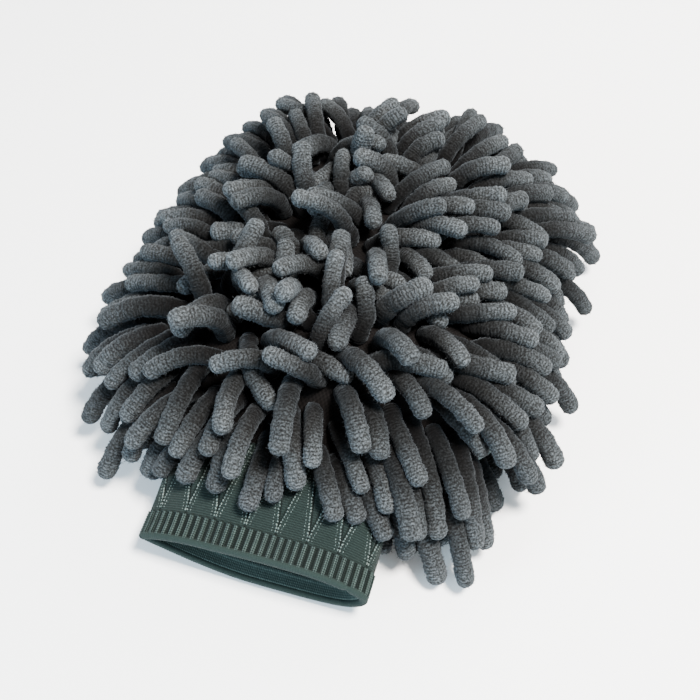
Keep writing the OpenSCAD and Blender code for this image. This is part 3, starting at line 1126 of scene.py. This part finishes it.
LEAST_SHEET = 10 * MM
PUCKER = 0.55 * MM
PUCKER_HALF = 1.1 * MM
FOLD_DEPTH = 0.25 * MM
FACE_GAP = 0.1 * MM


def bag_face(side, d, rows, cols, dent):
    """Grid over one face of the bag at offset d, pressed in by dent."""
    y = bag_stations(d, rows)[:, None]
    a = np.linspace(0, math.pi, cols)[None] + (0 if side > 0 else math.pi)
    p = skin(y, a, d - dent)
    p[..., 2] += side * FACE_GAP
    return p


def bag_stations(d, rows):
    return mix(NECK_Y + START_GAP, TIP_Y + d, crowded(rows, 1.7))


def cut_size(p):
    """Width and length of the flat cloth that makes a grid of points, and its area."""
    width = max(open_length(row) for row in p)
    length = open_length(p[:, p.shape[1] // 2])
    cells = np.cross(p[1:, :-1] - p[:-1, :-1], p[:-1, 1:] - p[:-1, :-1])
    return (width, length), float(np.linalg.norm(cells, axis=2).sum())


def make_backing(face, side, row_count, material):
    """Backing cloth, puckered where the rows of noodles are sewn to it."""
    rows, cols = 150, 121
    y = bag_stations(0, rows)
    seams = row_stations(row_count, side)
    pucker = np.exp(-(((y[:, None] - seams[None]) / PUCKER_HALF) ** 2)).sum(1)
    dent = (PUCKER * pucker)[:, None]
    outer = bag_face(side, 0, rows, cols, dent)
    inner = bag_face(side, -CLOTH, rows, cols, dent * 0.5)
    size, area = cut_size(outer)
    form = (face + "_backing", outer, inner, False, size)
    return cloth_piece(*form, material, "backing_cloth", face + "_backing_cloth"), size, area


def make_lining(face, side, material):
    """Loose lining with soft folds."""
    rows, cols = 90, 97
    u, v = np.meshgrid(np.linspace(0, 1, cols), np.linspace(0, 1, rows))
    folds = np.sin(9 * u + 5 * v + 1.3 * np.sin(6 * v)) * np.sin(np.pi * u) * np.sin(np.pi * v)
    dent = FOLD_DEPTH * (1 + folds)
    outer = bag_face(side, LINING_OUT, rows, cols, dent)
    inner = bag_face(side, LINING_OUT - LINING, rows, cols, dent)
    size, area = cut_size(outer)
    form = (face + "_lining_cloth", outer, inner, False, size)
    return cloth_piece(*form, material, "lining_cloth", face + "_lining"), size, area


def make_binding(material):
    """Pale tape down each side seam, with its stitch line pressed in near both edges."""
    rows, cols = 220, 19
    t = crowded(rows, ROW_CROWDING)
    y = mix(NECK_Y + START_GAP, TIP_Y - BINDING_STOP, t)[:, None]
    across = np.linspace(-1, 1, cols)[None]
    ripple = 0.12 * MM * np.sin(t * 150)[:, None]
    line = np.exp(-(((np.abs(across) - 0.7) / 0.09) ** 2)) * (0.6 + 0.4 * np.sin(t * 420)[:, None])
    crown = np.sqrt(np.maximum(1 - across**2, 0)) * (BINDING_OUT - BINDING_IN)
    out = BINDING_IN + 0.15 * MM + np.maximum(crown + ripple * (1 - across**2) - 0.35 * MM * line, 0)
    for name, end in (("right", 0), ("left", math.pi)):
        a = across * BINDING_HALF + end
        outer = skin(y, a, out)
        inner = skin(y, a, BINDING_IN)
        (width, length), area = cut_size(inner)
        size = (max(width, LEAST_SHEET), length)
        obj = cloth_piece("seam_tape_" + name, outer, inner, False, size, material, "binding_tape")
    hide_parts("side_seam_binding")


def seam_path(start_y, d, steps):
    """Points along the side seam at offset d, from the right of the neck round the finger end to the left."""
    y = mix(start_y, TIP_Y + d, crowded(steps + 1, 2))
    right = np.stack([half_width(y, d), y, seam_z(y)], 1)
    left = right[-2::-1] * np.array([-1, 1, 1])
    return np.concatenate([right, left])


def make_seam_allowance(material):
    """Turned-in edges of the two faces, wavy along their cut edge."""
    steps, cols = 90, 7
    outer_path = seam_path(ALLOWANCE_START, ALLOWANCE_OUT, steps)
    inner_path = seam_path(ALLOWANCE_START, ALLOWANCE_IN, steps)
    up = np.linspace(-1, 1, cols)[None, :, None]
    wave = 0.25 * MM * np.sin(np.arange(len(outer_path)) * 0.9)[:, None, None]
    height = up * (ALLOWANCE_HALF + wave) * UPWARDS
    outer, inner = outer_path[:, None] + height, inner_path[:, None] + height
    width, length = 2 * ALLOWANCE_HALF, open_length(outer_path)
    form = ("seam_allowance_strip", outer, inner, False, (width, length))
    obj = cloth_piece(*form, material, "backing_cloth", "side_seam_allowance")


def make_seam_stitches(material):
    """Overlock thread that runs up and down along the turned-in edges."""
    clear = 0.3 * MM
    path = seam_path(ALLOWANCE_START, ALLOWANCE_IN - clear - THREAD_R, 260)
    path[:, 2] += 0.8 * ALLOWANCE_HALF * (1 - 2 * triangle_wave(np.arange(len(path)) / 8))
    obj = join_tubes("overlock_thread", [sweep_grid(path, ALONG_MITT + 0.2, False)], False)
    finish_piece(obj, material, "side_seam_stitches")


def make_row_stitching(face, side, rows, material):
    """Lines of single stitches on the inside of the backing, one under each row of noodles."""
    clear, spacing, first = math.radians(16), 3.2 * MM, 2 * MM
    a = np.linspace(clear, math.pi - clear, 300) + (0 if side > 0 else math.pi)
    stitches = []
    for y in row_stations(rows, side):
        p = skin(y, a, -CLOTH - 0.5 * MM)
        pick = stitch_places(p, first, spacing)
        normals = skin_normal(np.full(len(pick), y), a[pick])
        stitches.append((p[pick], unit(p[pick + 1] - p[pick - 1]), normals, np.ones(len(pick))))
    obj = place_beads(face + "_row_thread", stitches, 2.6 * MM, 0.6 * MM)
    finish_piece(obj, material, face + "_row_stitching")


def make_bag():
    # Painted shade: the backing weave is near black, standing in for the shade that falls between the
    # noodles.
    backing = woven_material("backing_weave", (0.0008, 0.0006, 0.0006), (0.004, 0.0033, 0.0032), 0.7)
    lining = woven_material("lining_weave", (0.02, 0.024, 0.025), (0.08, 0.09, 0.092), 0.5)
    tape = woven_material("tape_weave", (0.045, 0.065, 0.068), (0.12, 0.155, 0.16), 0.6)
    thread = thread_material("seam_thread", (0.012, 0.016, 0.017), (0.04, 0.05, 0.052))
    faces = (
        ("upper", 1, len(UPPER_ROWS), "stretched", ["lower_backing"]),
        ("lower", -1, len(LOWER_ROWS), "laid", ["pile_" + node for node in LOWER_ROWS]),
    )
    for face, side, row_count, held, under in faces:
        cloth, size, area = make_backing(face, side, row_count, backing)
        inner, size, area = make_lining(face, side, lining)
        make_row_stitching(face, side, row_count, thread)
    make_binding(tape)
    make_seam_allowance(backing)
    make_seam_stitches(thread)


# ---------- floor, light and camera ----------


def make_floor():
    bpy.ops.mesh.primitive_plane_add(size=12, location=(0, 0, 0))
    floor = bpy.context.object
    floor.name = "floor"
    material, shader = new_material("floor", 0.6, 0.0)
    shader.inputs["Base Color"].default_value = (0.93, 0.93, 0.93, 1)
    floor.data.materials.append(material)


def area_light(name, place, size, power, colour):
    """A round soft light at a place, turned to the middle of the mitt."""
    data = bpy.data.lights.new(name, "AREA")
    data.shape = "DISK"
    data.size = size
    data.energy = power
    data.color = colour
    obj = bpy.data.objects.new(name, data)
    obj.location = place
    obj.rotation_mode = "QUATERNION"
    obj.rotation_quaternion = (Vector((0, 0, 30 * MM)) - Vector(place)).to_track_quat("-Z", "Y")
    bpy.context.collection.objects.link(obj)


def make_lights():
    area_light("key", (0.5, -0.05, 1.3), 0.4, 102, (1.0, 0.955, 0.9))
    area_light("fill", (-0.95, -1.1, 0.5), 0.8, 46, (0.55, 0.8, 1.0))
    area_light("side", (1.3, -0.5, 0.35), 0.6, 16, (0.6, 0.85, 1.0))
    area_light("back", (0.3, 1.3, 0.8), 1.0, 30, (0.93, 0.97, 1.0))
    world = bpy.data.worlds.new("studio")
    bpy.context.scene.world = world
    world.use_nodes = True
    background = world.node_tree.nodes["Background"]
    background.inputs["Color"].default_value = (1, 1, 1, 1)
    background.inputs["Strength"].default_value = 0.8


def make_camera():
    azimuth, elevation, distance = math.radians(17), math.radians(54), 0.455
    target = Vector((9.6 * MM, -27 * MM, 28 * MM))
    level = math.cos(elevation)
    back = Vector((math.sin(azimuth) * level, -math.cos(azimuth) * level, math.sin(elevation)))
    data = bpy.data.cameras.new("camera")
    data.sensor_width = 36
    data.lens = 49.1
    camera = bpy.data.objects.new("camera", data)
    camera.location = target + back * distance
    camera.rotation_mode = "QUATERNION"
    camera.rotation_quaternion = (-back).to_track_quat("-Z", "Y")
    bpy.context.collection.objects.link(camera)
    bpy.context.scene.camera = camera


make_camera()
make_floor()
make_lights()
make_pile()
make_bag()
make_cuff()
